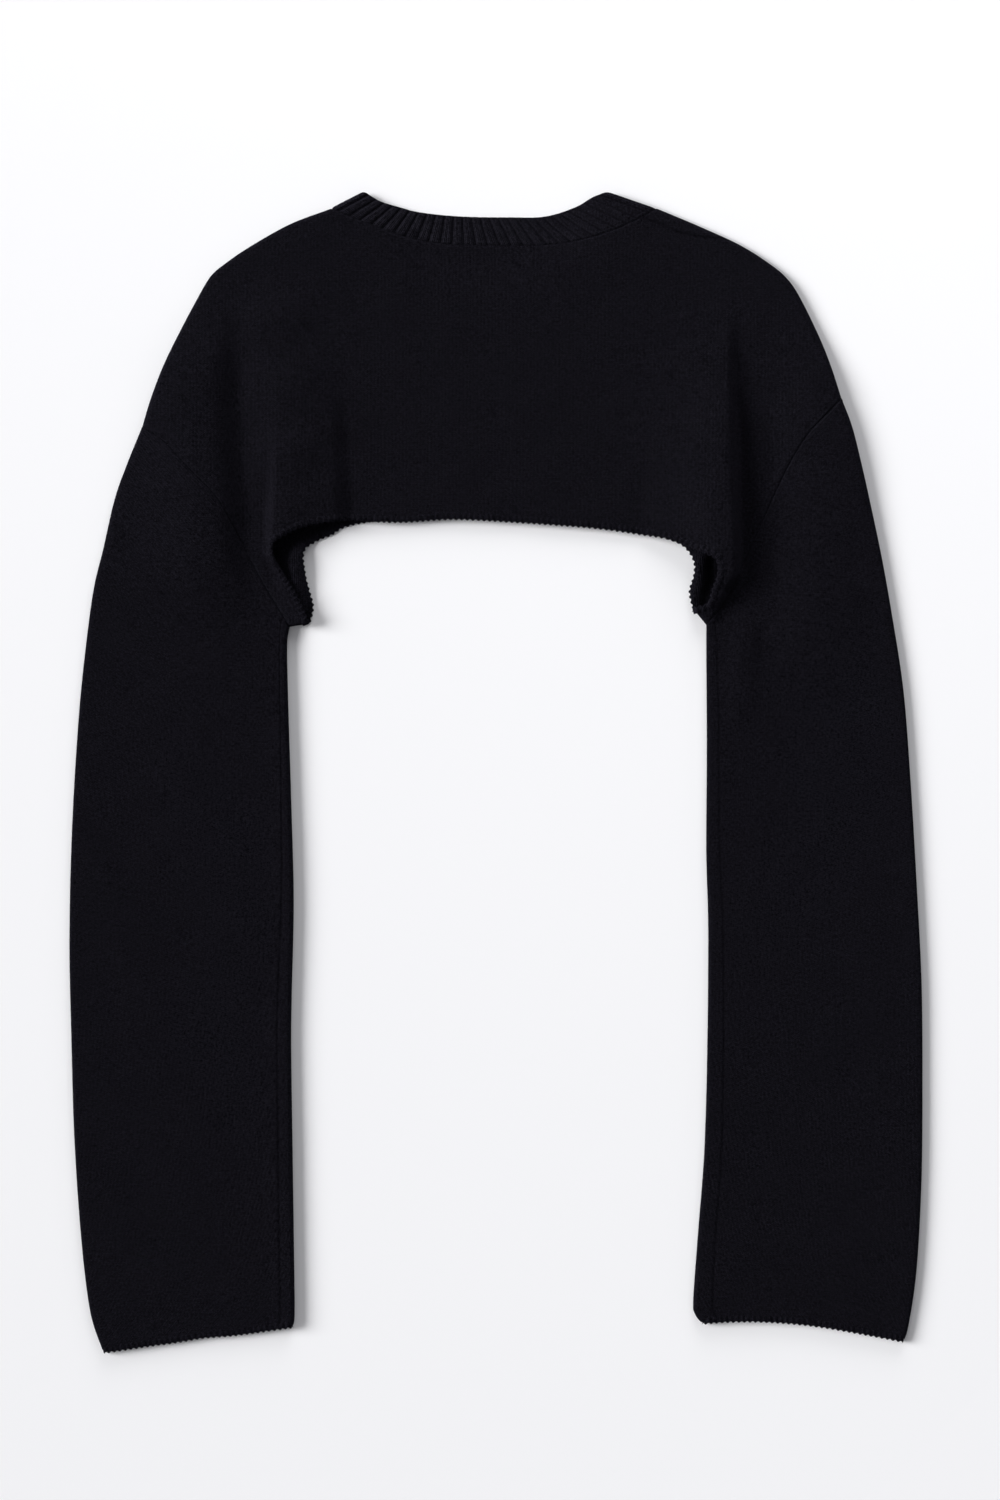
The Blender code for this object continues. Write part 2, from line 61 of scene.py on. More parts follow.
bpy.ops.object.camera_add(location=(*VIEW_CENTRE, VIEW_HEIGHT * LENS / SENSOR), rotation=(0, 0, 0))
camera = bpy.context.object
camera.data.lens = LENS
camera.data.sensor_width = SENSOR
bpy.context.scene.camera = camera
print("camera height", round(camera.location.z, 3))

# %% [markdown]
# ## Floor and light
# The surface is a plain, almost white one. One soft light stands to the left and throws a narrow
# shadow along the right of each sleeve, a wider one stands low beyond the neck and shades the floor
# below the hems, and a pale sky fills the rest. The sky is brighter near the horizon, where it is
# only a backdrop. The colours are shown as they are, without a film curve, so that near-black stays
# near-black.

# %% Floor and light
# Sizes in metres. The horizon's top is the height of a direction at which the sky has its own strength
FLOOR_SIZE = 40.0
SKY_COLOUR = (0.965, 0.965, 1.0)
SKY_STRENGTH = 0.27
HORIZON_STRENGTH = 0.86
HORIZON_TOP = 0.16
LEFT_LIGHT = {"direction": (-1.0, 0.18, 0.58), "strength": 3.95, "softness": 29.0}
TOP_LIGHT = {"place": (0.4, 2.4, 1.1), "width": 1.6, "power": 28.0}

bpy.context.scene.view_settings.view_transform = "Standard"


def fill(node, values):
    """Gives some of a node's inputs plain values."""
    for entry, value in values.items():
        node.inputs[entry].default_value = value


world = bpy.data.worlds.new("pale studio")
world.use_nodes = True
bpy.context.scene.world = world
sky_tree = world.node_tree
sky = sky_tree.nodes["Background"]
fill(sky, {"Color": (*SKY_COLOUR, 1.0)})
sky_place = sky_tree.nodes.new("ShaderNodeTexCoord")
sky_parts = sky_tree.nodes.new("ShaderNodeSeparateXYZ")
sky_fall = sky_tree.nodes.new("ShaderNodeMapRange")
sky_fall.interpolation_type = "SMOOTHSTEP"
fill(sky_fall, {"From Max": HORIZON_TOP, "To Min": HORIZON_STRENGTH, "To Max": SKY_STRENGTH})
sky_tree.links.new(sky_place.outputs["Generated"], sky_parts.inputs[0])
sky_tree.links.new(sky_parts.outputs["Z"], sky_fall.inputs["Value"])
sky_tree.links.new(sky_fall.outputs["Result"], sky.inputs["Strength"])

bpy.ops.mesh.primitive_plane_add(size=FLOOR_SIZE, location=(0, 0, 0))
floor = bpy.context.object
floor.name = "floor"


def lamp(kind, name, place, energy):
    """A light that shines from its place at the middle of the surface."""
    bpy.ops.object.light_add(type=kind, location=place)
    light = bpy.context.object
    light.name = name
    light.rotation_euler = (-Vector(place)).to_track_quat("-Z", "Y").to_euler()
    light.data.energy = energy
    return light.data


left_light = lamp("SUN", "left light", LEFT_LIGHT["direction"], LEFT_LIGHT["strength"])
left_light.angle = math.radians(LEFT_LIGHT["softness"])
top_light = lamp("AREA", "top light", TOP_LIGHT["place"], TOP_LIGHT["power"])
top_light.shape = "DISK"
top_light.size = TOP_LIGHT["width"]
left_x, left_y, left_z = LEFT_LIGHT["direction"]
left_angle = math.degrees(math.atan2(left_z, math.hypot(left_x, left_y)))
print("left light", round(left_angle), "degrees above the floor")

# %% [markdown]
# ## Curves that the cloth follows
# The cut of a garment is drawn as curves: the outline, the seams and the edges. Each curve here runs
# smoothly through a few points, in millimetres, and can be read at any distance along it. The left of
# the photograph is towards -X, the neck towards +Y, and the surface lies at Z = 0.

# %% Smooth curves
METRE = 0.001
QUARTER = math.pi / 2
SIDES = ("left", "right")


def eased(place, knots, values):
    """Values at places between knots, with level tangents at each knot."""
    knots, values = np.asarray(knots, float), np.asarray(values, float)
    n = np.clip(np.searchsorted(knots, place, side="right") - 1, 0, len(knots) - 2)
    t = np.clip((place - knots[n]) / (knots[n + 1] - knots[n]), 0.0, 1.0)
    return values[n] + (values[n + 1] - values[n]) * t * t * (3 - 2 * t)


class Line:
    """A plan curve through its points, read by the distance along it, and straight if fine is 1."""

    def __init__(self, points, fine=8):
        knots = [np.array(p, dtype=float) for p in points]
        knots = [2 * knots[0] - knots[1]] + knots + [2 * knots[-1] - knots[-2]]
        track = []
        for a, b, c, d in zip(knots, knots[1:], knots[2:], knots[3:]):
            for step in range(fine):
                t = step / fine
                track.append(0.5 * (2 * b + (c - a) * t + (2 * a - 5 * b + 4 * c - d) * t * t
                                    + (3 * b - a - 3 * c + d) * t * t * t))
        track.append(knots[-2])
        self.track = np.array(track)
        steps = np.linalg.norm(np.diff(self.track, axis=0), axis=1)
        self.marks = np.concatenate(([0.0], np.cumsum(steps)))
        self.length = float(self.marks[-1])

    def at(self, distance):
        """The point at a distance, or the points at several distances."""
        return np.stack([np.interp(distance, self.marks, values) for values in self.track.T], axis=-1)

    def share(self, fraction):
        """The point at a share of the whole length."""
        return self.at(fraction * self.length)

    def heading(self, distance):
        """The direction in which the curve runs on at a distance."""
        ahead = self.at(min(distance + 1.0, self.length)) - self.at(max(distance - 1.0, 0.0))
        return ahead / np.linalg.norm(ahead)


def half_ellipse(centre, half_width, drop, points=24):
    """A neckline's points, from its left end down round its lowest point to its right end."""
    turns = [math.pi * k / points for k in range(points + 1)]
    return [(centre[0] - half_width * math.cos(t), centre[1] - drop * math.sin(t)) for t in turns]


def in_stretches(points, count):
    """A smooth curve as equal straight stretches, so that two pieces can share its corners."""
    curve = Line(points)
    return Line([curve.share(k / count) for k in range(count + 1)], fine=1)


def beside(line, distance, offset):
    """A point beside a curve at a distance along it, to its left where the offset is above 0."""
    ahead = line.heading(distance)
    return line.at(distance) + offset * np.array([-ahead[1], ahead[0]])


def crossing(a, b):
    """The sine of the angle between two headings."""
    return abs(a[0] * b[1] - a[1] * b[0])


# %% [markdown]
# ## The cut
# These are the sweater's own lines. Where two pieces meet they share one line, so that their edges
# always fit, and the back and the front share the folded edges at the shoulders and sides.

# %% Outlines and seams
NECK_STEPS = 16
NECK_TO_ARMHOLE = {
    "left": ((-118.8, 405.0), (-148.3, 393.8), (-177.1, 377.6), (-194.4, 365.8), (-205.2, 356.4),
        (-214.6, 340.6), (-226.8, 317.5), (-239.0, 292.3), (-248.4, 267.8), (-254.2, 248.4)),
    "right": ((115.9, 405.0), (146.9, 392.0), (175.7, 378.7), (197.3, 365.0), (209.5, 354.6),
        (218.9, 340.6), (232.6, 312.5), (241.2, 290.9), (248.4, 268.6)),
}
ARMHOLE_TO_CUFF = {
    "left": ((-254.2, 248.4), (-265.7, 220.3), (-274.3, 195.8), (-282.2, 161.3), (-289.4, 131.0),
        (-295.2, 87.8), (-300.2, 37.4), (-304.9, -41.8), (-306.7, -121.0), (-305.3, -193.0),
        (-303.1, -265.0), (-298.1, -337.0), (-291.6, -388.8), (-282.2, -417.6)),
    "right": ((248.4, 268.6), (256.3, 247.7), (263.5, 218.9), (269.3, 193.0), (277.2, 155.5),
        (284.4, 115.2), (293.0, 59.0), (298.1, -5.8), (302.4, -77.8), (306.0, -149.8), (306.7, -218.2),
        (306.0, -293.8), (302.4, -358.6), (296.6, -398.2), (293.0, -409.7)),
}
UNDERARM_TO_CUFF = {
    "left": ((-148.3, 104.4), (-150.1, 91.4), (-149.4, 51.8), (-147.2, -20.2), (-145.4, -92.2),
        (-146.9, -164.2), (-147.2, -200.2), (-146.2, -272.2), (-145.4, -329.8), (-144.7, -387.4),
        (-145.8, -398.9)),
    "right": ((151.2, 105.8), (151.2, 87.8), (151.6, 15.8), (151.2, -56.2), (152.6, -113.8),
        (151.9, -200.2), (149.8, -272.2), (145.4, -329.8), (141.8, -380.2), (143.3, -390.2),
        (148.3, -396.7)),
}
ARMHOLE_SEAM = {
    "left": ((-254.2, 248.4), (-237.6, 236.9), (-226.1, 224.6), (-214.6, 212.4), (-203.8, 201.6),
        (-195.1, 188.6), (-170.6, 141.8), (-148.3, 104.4)),
    "right": ((248.4, 268.6), (236.9, 256.3), (224.6, 243.4), (214.6, 228.2), (207.4, 214.6),
        (200.2, 199.4), (195.1, 187.9), (179.3, 152.6), (164.9, 123.8), (151.2, 105.8)),
}
CUFF_EDGE = {
    "left": ((-282.2, -417.6), (-253.4, -413.3), (-227.5, -409.7), (-210.2, -406.8), (-184.3, -404.6),
        (-145.8, -398.9)),
    "right": ((293.0, -409.7), (262.1, -403.9), (227.5, -398.2), (193.0, -395.3), (167.0, -395.3),
        (148.3, -396.7)),
}
BACK_SEAM = ((-118.8, 405.0), (-97.9, 396.7), (-77.8, 388.8), (-61.9, 383.8), (-40.3, 380.2),
        (-4.3, 378.7), (31.7, 378.7), (56.9, 381.6), (75.6, 386.4), (95.8, 394.0), (115.9, 405.0))
BACK_EDGE = ((-95.0, 417.3), (-83.5, 410.4), (-69.1, 406.1), (-54.7, 402.5), (-25.9, 399.6),
        (10.1, 398.9), (35.3, 399.6), (56.9, 406.1), (69.1, 412.9), (80.6, 417.3))
FRONT_EDGE = {"centre": (-7.2, 417.3), "half_width": 87.8, "drop": 77.0}
FRONT_SEAM = {"centre": (-1.45, 405.0), "half_width": 117.35, "drop": 85.0}

# %% Hems
HEM = {
    ("back", "left"): ((-133.9, 106.6), (-137.5, 115.9), (-144.0, 129.6), (-152.6, 143.3),
        (-158.4, 152.6), (-159.5, 162.7), (-149.8, 169.9), (-138.2, 175.3), (-121.0, 178.9),
        (-103.7, 180.4)),
    ("back", "right"): ((141.1, 118.1), (151.2, 121.0), (154.8, 131.0), (158.4, 142.6), (157.0, 151.9),
        (147.6, 157.0), (138.2, 160.6), (124.6, 166.7), (103.7, 170.6)),
    ("front", "left"): ((-133.9, 106.6), (-131.4, 118.8), (-134.3, 131.0), (-136.8, 141.1),
        (-137.9, 158.4), (-128.9, 166.0), (-118.1, 170.6), (-108.0, 176.4)),
    ("front", "right"): ((141.1, 118.1), (139.0, 129.6), (142.2, 141.8), (141.8, 152.6), (135.4, 162.0),
        (125.3, 167.0), (103.7, 172.8)),
}
HEM_BELOW_ARMHOLE = 0.77
HEM_MIDDLE = {
    "back": ((-103.7, 180.4), (-69.1, 179.3), (-33.1, 181.4), (2.9, 180.0), (46.1, 177.1),
        (74.9, 174.6), (103.7, 170.6)),
    "front": ((-108.0, 176.4), (-83.5, 180.7), (-33.1, 183.2), (46.1, 180.0), (103.7, 172.8)),
}

OUTLINE, OUTER, INNER, ARMHOLE, CUFF = ({side: Line(table[side]) for side in SIDES} for table in (
    NECK_TO_ARMHOLE, ARMHOLE_TO_CUFF, UNDERARM_TO_CUFF, ARMHOLE_SEAM, CUFF_EDGE))
SIDE_FOLD = {side: Line((UNDERARM_TO_CUFF[side][0], HEM["back", side][0])) for side in SIDES}
TIP_FOLD = {"left": Line((BACK_SEAM[0], BACK_EDGE[0])), "right": Line((BACK_SEAM[-1], BACK_EDGE[-1]))}
NECK_SEAM = {"back": in_stretches(BACK_SEAM, NECK_STEPS),
             "front": in_stretches(half_ellipse(**FRONT_SEAM), NECK_STEPS)}
NECK_EDGE = {"back": Line(BACK_EDGE), "front": Line(half_ellipse(**FRONT_EDGE))}
print("armhole seams, mm", {side: round(ARMHOLE[side].length) for side in SIDES})

# %% [markdown]
# ## How high the cloth lies
# Two layers lie on each other. At a folded edge they turn round in a small bend that stands a little
# higher than the middle. A few folds run up from the hem and along the armholes, where the cloth is
# pushed together, and at each seam the cloth curls down into a narrow groove.

# %% Heights
# The cloth itself and its folded edges, in millimetres as all that follows
WALL = 2.2
HALF_GAP = 0.02
EDGE_RADIUS = 3.3
# The upper face: its height, the least it keeps, how far in from a folded edge the height fades and
# the waves grow, and its sag over the open front neck
MID_HEIGHT = 6.4
LEAST_HEIGHT = 5.0
EDGE_FADE = 16.0
WAVE_FADE = 10.0
NECK_SAG = 3.0
SAG_SHARES = (0.6, 1.05)
# The curl of the cloth down to a seam, and where the furrow in the material starts beside it
SEAM_RADIUS = 2.3
SEAM_ANGLE = math.radians(52)
FURROW_START = 0.7

# Each fold runs towards the neck. It has its places, its heights there, how far it spreads towards
# -X and +X, and how steep it is on those sides: 2 is a soft swell and 4 a steep side.
Fold = namedtuple("Fold", "name ys xs heights spread steep")
FOLDS = (
    Fold("chest ridge, left", (180, 240, 268, 320, 365), (-150, -151, -153, -158, -168),
         (0, 8.0, 9.0, 4.5, 0), (24, 27), (2.6, 2)),
    Fold("hem ridge, left", (116, 135, 158, 181, 215, 255), (-142, -150, -158, -157, -155, -153),
         (0, 2.5, 8.5, 10.5, 5.5, 0), (6.5, 22), (3, 2)),
    Fold("hem ridge, right", (104, 115, 128, 142, 181, 232, 290, 345),
         (150, 151, 158, 166, 165, 163, 162, 162), (0, 5.0, 10.5, 14.5, 16.0, 13.5, 6.5, 0), (36, 9),
         (2, 4)),
    Fold("sleeve swell, left", (95, 165, 280, 350), (-200, -212, -217, -214), (0, 10.5, 11.0, 0),
         (36, 28), (2, 3.2)),
    Fold("sleeve swell, right", (40, 140, 217, 268, 330), (228, 238, 238, 236, 222),
         (0, 6.0, 6.0, 4.2, 0), (26, 26), (3, 2)),
    Fold("armhole trough, left", (120, 165, 270, 360), (-172, -181, -187, -185), (0, -2.6, -2.6, 0),
         (9, 7), (2, 2)),
    Fold("armhole trough, right", (60, 150, 260, 320), (189, 189, 187, 184), (0, -2.4, -2.2, 0),
         (16, 16), (3, 3)),
    Fold("sleeve ridge, right", (24, 62, 96, 124), (173, 176, 178, 178), (0, 2.2, 3.6, 0), (8, 11),
         (2, 3)),
    Fold("hem swell, left", (165, 185, 240, 300), (-122, -122, -123, -128), (6.2, 6.0, 4.0, 0),
         (24, 14), (2, 3)),
    Fold("hem crease, left", (168, 190, 240, 295), (-106, -106, -108, -112), (-1.6, -1.6, -1.2, 0),
         (7, 4), (2, 2)),
    Fold("hem crease, right", (165, 190, 240), (103, 105, 108), (-1.8, -1.6, 0), (9, 8), (2, 2)),
)
FRONT_FOLDS = (
    Fold("raised hem of the front, left", (108, 122, 150, 176), (-141, -143, -144, -138),
         (0, 5.5, 7.0, 0), (7, 8), (2, 2)),
    Fold("raised hem of the front, right", (108, 120, 145, 168), (139, 142, 146, 149), (0, 5.0, 6.5, 0),
         (5.5, 5), (2, 2.5)),
)
# Slight waves of cloth that was smoothed by hand: length in mm, direction in degrees, phase, height
WAVES = ((74.0, 12, 0.3, 0.16), (53.0, 71, 1.9, 0.14), (41.0, 128, 4.1, 0.11),
         (29.0, 38, 2.7, 0.08), (23.0, 101, 5.2, 0.06), (17.0, 160, 0.9, 0.04))


def segments(lines):
    """The starts and the runs of all the straight steps of some curves."""
    return (np.vstack([line.track[:-1] for line in lines]),
            np.vstack([np.diff(line.track, axis=0) for line in lines]))


def distances(plans, steps):
    """The plan distance from each point to the nearest of some straight steps."""
    starts, runs = steps
    found = []
    for some in np.array_split(plans, max(1, len(plans) // 2000)):
        offset = some[:, None, :] - starts
        t = np.clip(np.sum(offset * runs, axis=2) / np.sum(runs * runs, axis=1), 0, 1)
        found.append(np.min(np.linalg.norm(offset - t[:, :, None] * runs, axis=2), axis=1))
    return np.concatenate(found)


FOLDED_EDGES = segments([lines[side] for lines in (OUTLINE, OUTER, INNER, SIDE_FOLD, TIP_FOLD)
                         for side in SIDES])
ARMHOLES = [ARMHOLE[side] for side in SIDES]
SEAMS = {"sleeve": segments(ARMHOLES), "back": segments(ARMHOLES + [NECK_SEAM["back"]]),
         "front": segments(ARMHOLES + [NECK_SEAM["front"]])}


def fold_heights(x, y, folds):
    """The height that some folds add."""
    height = np.zeros(len(x))
    for fold in folds:
        across = x - eased(y, fold.ys, fold.xs)
        share = np.abs(across) / np.where(across < 0, *fold.spread)
        fall = np.exp(-share ** np.where(across < 0, *fold.steep))
        height += eased(y, fold.ys, fold.heights) * fall
    return height


def wave_heights(x, y):
    """The slight unevenness of cloth that lies as it fell."""
    height = np.zeros(len(x))
    for length, direction, phase, rise in WAVES:
        along = x * math.cos(math.radians(direction)) + y * math.sin(math.radians(direction))
        height += rise * np.sin(2 * math.pi * along / length + phase)
    return height


def top_heights(plans):
    """The heights of the garment's upper face, away from its rounded edges."""
    x, y = plans.T
    away = np.maximum(0.0, distances(plans, FOLDED_EDGES) - EDGE_RADIUS)
    height = MID_HEIGHT + (2 * EDGE_RADIUS - MID_HEIGHT) * np.exp(-away / EDGE_FADE)
    height += fold_heights(x, y, FOLDS) + wave_heights(x, y) * np.minimum(1.0, away / WAVE_FADE)
    height = np.maximum(height, LEAST_HEIGHT)
    centre, half_width, drop = FRONT_EDGE.values()
    neck_share = np.hypot((x - centre[0]) / half_width, (y - centre[1]) / drop)
    return height - NECK_SAG * eased(neck_share, SAG_SHARES, (1.0, 0.0))


def curl_depths(plans, seams):
    """How far the cloth curls down towards the nearest seam."""
    flat = SEAM_RADIUS * math.sin(SEAM_ANGLE)
    away = np.minimum(distances(plans, SEAMS[seams]), flat)
    return SEAM_RADIUS * (1 - np.cos(np.arcsin((flat - away) / SEAM_RADIUS)))


# %% [markdown]
# A folded edge is a half circle seen from its end. The turn is the angle up from its outermost line:
# 0 at the line itself and a quarter turn where the cloth has become level.

# %% Places round a folded edge
def edge_inset(turn, depth=0.0):
    """How far in from a folded edge the cloth lies, at a turn."""
    return EDGE_RADIUS - (EDGE_RADIUS - depth) * math.cos(turn)


def edge_spare(turn):
    """How much longer the cloth is than its plan, from a turn to the top of a folded edge."""
    return EDGE_RADIUS * ((QUARTER - turn) - math.cos(turn))


# A point of a sheet before it is lifted: its plan, how far round a folded edge it lies, its depth in
# the cloth, its layer (+1 above, -1 below), how far it stays clear of the other layer, its place in
# the knit in mm, and its distance from a seam that is sewn inside the piece
FAR = 50.0
Cell = namedtuple("Cell", "plan turn depth layer clear knit seam", defaults=(0.0, (0.0, 0.0), FAR))


def lifted(cells, seams=None):
    """The places of cells in space, in millimetres, and none of them under the floor."""
    plans = np.array([cell.plan for cell in cells])
    turn, depth, layer, clear = np.array([(c.turn, c.depth, c.layer, c.clear) for c in cells]).T
    if seams is not None:
        depth = depth + curl_depths(plans, seams)
    reach = np.where(layer > 0, top_heights(plans) - EDGE_RADIUS, EDGE_RADIUS) - depth
    rise = clear + (reach - clear) * np.sin(turn)
    raised = np.where(layer < 0, fold_heights(*plans.T, FRONT_FOLDS), 0.0) * np.sin(turn)
    return np.column_stack((plans, np.maximum(0.0, EDGE_RADIUS + layer * rise + raised)))


def quarter_turns(steps):
    """The turns from a folded edge's outermost line up to its level top."""
    return [QUARTER * k / steps for k in range(steps + 1)]


BESIDE_SEAM = (0.0, 0.45, 1.0, 1.7, 2.6, 4.0)
NEAR_SHARE = 0.45


def spread_out(start, end, step, fine=BESIDE_SEAM, ends="both"):
    """Distances from start to end about a step apart, closer together next to a seam."""
    length = abs(end - start)
    near = [d for d in fine if d < NEAR_SHARE * length]
    first = near if ends in ("both", "start") else [0.0]
    last = [length - d for d in near[::-1]] if ends in ("both", "end") else [length]
    count = max(1, round((last[0] - first[-1]) / step))
    middle = [first[-1] + (last[0] - first[-1]) * k / count for k in range(1, count)]
    direction = 1 if end > start else -1
    return [start + direction * d for d in first + middle + last]


# %% [markdown]
# ## From a grid to a sheet of cloth
# One helper serves every piece. It adds a grid primitive and moves each point to its place. It also
# writes the piece's own UV map, counted in stitches, so that the knit follows the cloth, and the
# distance to a sewn line that runs inside the piece, so that the material can sink a furrow there
# and darken its colour with painted shade.

# %% Grid to cloth
# One stitch across and one along, in millimetres
WALE = 2.0
COURSE = 1.5
# Points this near merge, in metres, and faces that meet at less than this angle look smooth
MERGE_WITHIN = 0.00001
SMOOTH_BELOW = math.radians(60)


def cloth_grid(name, table, seams=None):
    """A mesh object from a table of rows of cells."""
    rows, columns = len(table), len(table[0])
    bpy.ops.object.select_all(action="DESELECT")
    bpy.ops.mesh.primitive_grid_add(x_subdivisions=columns - 1, y_subdivisions=rows - 1, size=1.0)
    piece = bpy.context.object
    piece.name = name
    mesh = piece.data
    mesh.name = name
    cells = [cell for row in table for cell in row]
    mesh.vertices.foreach_set("co", (lifted(cells, seams) * METRE).ravel())
    corner_points = np.empty(len(mesh.loops), dtype=int)
    mesh.loops.foreach_get("vertex_index", corner_points)
    knit_places = np.array([cell.knit for cell in cells]) / (WALE, COURSE)
    mesh.uv_layers[0].name = "knit"
    mesh.uv_layers[0].data.foreach_set("uv", knit_places[corner_points].ravel())
    seam = mesh.attributes.new("seam", "FLOAT", "POINT")
    away = np.array([cell.seam for cell in cells])
    if seams is not None:
        plans = np.array([cell.plan for cell in cells])
        away = np.minimum(away, FURROW_START + distances(plans, SEAMS[seams]))
    seam.data.foreach_set("value", away)
    mesh.update()
    return piece


def join_edges():
    """Merges the active grid's edges where they meet and turns its faces outwards."""
    bpy.ops.object.mode_set(mode="EDIT")
    bpy.ops.mesh.select_all(action="SELECT")
    bpy.ops.mesh.remove_doubles(threshold=MERGE_WITHIN)
    bpy.ops.mesh.normals_make_consistent(inside=False)
    bpy.ops.object.mode_set(mode="OBJECT")


def face_up(piece, layer):
    """Turns an open sheet's faces up on the upper layer and down on the lower one."""
    normals = np.empty(len(piece.data.polygons) * 3)
    piece.data.polygons.foreach_get("normal", normals)
    if np.sum(normals[2::3]) * layer < 0:
        bpy.ops.object.mode_set(mode="EDIT")
        bpy.ops.mesh.select_all(action="SELECT")
        bpy.ops.mesh.flip_normals()
        bpy.ops.object.mode_set(mode="OBJECT")


def thicken(piece):
    """Gives the sheet its wall, inwards from its outer face."""
    solidify = piece.modifiers.new("wall", "SOLIDIFY")
    solidify.thickness = WALL * METRE
    solidify.offset = -1.0
    bpy.ops.object.modifier_apply(modifier=solidify.name)
    bpy.ops.object.shade_smooth_by_angle(angle=SMOOTH_BELOW)


def report(piece):
    """Prints a piece's faces and size."""
    size = np.ptp([vertex.co for vertex in piece.data.vertices], axis=0) / METRE
    print(piece.name, "faces", len(piece.data.polygons), "size in mm", np.round(size, 1))


# %% [markdown]
# ## The back and the front
# Each panel is cut by straight lines that run from its top, which is the armhole, the folded
# shoulder or the neckband, down to its hem. Every line is one column of the grid. Near a seam the
# points stand closer together, so that the edge can curl. The front lies under the back, and its
# neckline drops lower.

# %% Points beside the seams
EDGE_TURNS = 6
# How much longer an inset from the side is along the armhole seam, which lies at a slant
UNDERARM_SLANT = 1.3


def underarm_place(side, turn):
    """The distance along an armhole seam of a point near the underarm."""
    return ARMHOLE[side].length - UNDERARM_SLANT * edge_inset(turn)


def outline_place(side, turn):
    """The distance along an armhole seam of a point near the sweater's outline."""
    return edge_inset(turn) / crossing(ARMHOLE[side].heading(0.0), OUTER[side].heading(0.0))


def armhole_point(side, distance, towards_body):
    """A point beside an armhole seam, half the seam's gap away from it."""
    return beside(ARMHOLE[side], distance, HALF_GAP if towards_body == (side == "left") else -HALF_GAP)


def neck_place(panel, side, turn, depth=0.0):
    """The distance along a neck seam of a point near one of its ends."""
    seam = NECK_SEAM[panel]
    end = 0.0 if side == "left" else seam.length
    inset = edge_inset(turn, depth) / crossing(seam.heading(end), OUTLINE[side].heading(0.0))
    return inset if side == "left" else seam.length - inset


def neck_point(panel, distance, towards_body):
    """A point beside the neckband's seam, half the seam's gap away from it."""
    return beside(NECK_SEAM[panel], distance, -HALF_GAP if towards_body else HALF_GAP)


# %% Columns of a panel
# One column: its two ends in plan, how far round the outline and the side fold it starts, and the
# heading of the outline where it starts there
Column = namedtuple("Column", "top hem turn side_turn outline", defaults=(QUARTER, QUARTER, None))
# The share of the hem's middle that the columns of one neck fold end on
CORNER_SHARE = 0.03


def half_columns(panel, side, step):
    """Columns from the side fold up the armhole and along the outline to the neckband."""
    hem, middle, outline = Line(HEM[panel, side]), Line(HEM_MIDDLE[panel]), OUTLINE[side]
    first_hem, below_armhole = edge_inset(QUARTER), HEM_BELOW_ARMHOLE * hem.length
    lowest, highest = underarm_place(side, QUARTER), outline_place(side, QUARTER)

    def hem_facing(place):
        return hem.at(first_hem + (below_armhole - first_hem) * (lowest - place) / lowest)

    columns = []
    for turn in quarter_turns(EDGE_TURNS)[:-1]:
        columns.append(Column(armhole_point(side, underarm_place(side, turn), True),
                              hem.at(edge_inset(turn)), side_turn=turn))
    for place in spread_out(lowest, highest, step, ends="none"):
        columns.append(Column(armhole_point(side, place, True), hem_facing(place)))
    for turn in quarter_turns(EDGE_TURNS)[-2::-1]:
        place = outline_place(side, turn)
        columns.append(Column(armhole_point(side, place, True), hem_facing(place), turn,
                              outline=outline.heading(outline.length)))
    for place in spread_out(outline.length - HALF_GAP, HALF_GAP, step)[1:]:
        share = HEM_BELOW_ARMHOLE + (1 - HEM_BELOW_ARMHOLE) * (1 - place / outline.length)
        columns.append(Column(outline.at(place), hem.share(share), 0.0, outline=outline.heading(place)))
    for k, turn in enumerate(quarter_turns(EDGE_TURNS)[1:-1], start=1):
        share = CORNER_SHARE * k / EDGE_TURNS
        columns.append(Column(neck_point(panel, neck_place(panel, side, turn), True),
                              middle.share(share if side == "left" else 1 - share), turn,
                              outline=outline.heading(0.0)))
    return columns


def neck_columns(panel, step):
    """Columns under the neckband, between its two folds."""
    middle = Line(HEM_MIDDLE[panel])
    start, end = (neck_place(panel, side, QUARTER) for side in SIDES)
    columns = []
    for place in spread_out(start, end, step, ends="none"):
        share = CORNER_SHARE + (1 - 2 * CORNER_SHARE) * (place - start) / (end - start)
        columns.append(Column(neck_point(panel, place, True), middle.share(share)))
    return columns


# %% Rows down a column
# Rows next to a seam, what each has to spare round the folded shoulder, and how much of a short
# column they may fill
SEAM_ROWS = (0.0, 0.4, 0.85, 1.3, 1.75, 2.3, 3.2)
SHOULDER_SPARE = 0.1
SHORT_COLUMN = 0.05
WELT_TUCK = 2.0
# No slant is taken as sharper than this, the sine of the angle between a row and a folded edge
LEAST_SLANT = {"panel": 0.5, "sleeve": 0.6}
SHOULDER_SEAM = Line(((108.0, 397.6), (110.9, 396.0), (122.4, 391.7), (131.8, 387.4), (145.4, 384.5),
                      (157.0, 383.4), (170.0, 381.6)))
SHOULDER_SEAM_PAST = (4.0, 6.0)


def shoulder_seam_distance(plan):
    """How far above (+) or below (-) the right shoulder's seam a plan point lies."""
    track = SHOULDER_SEAM.track
    if not track[0][0] - SHOULDER_SEAM_PAST[0] < plan[0] < track[-1][0] + SHOULDER_SEAM_PAST[1]:
        return FAR
    return float(plan[1] - np.interp(plan[0], track[:, 0], track[:, 1]))


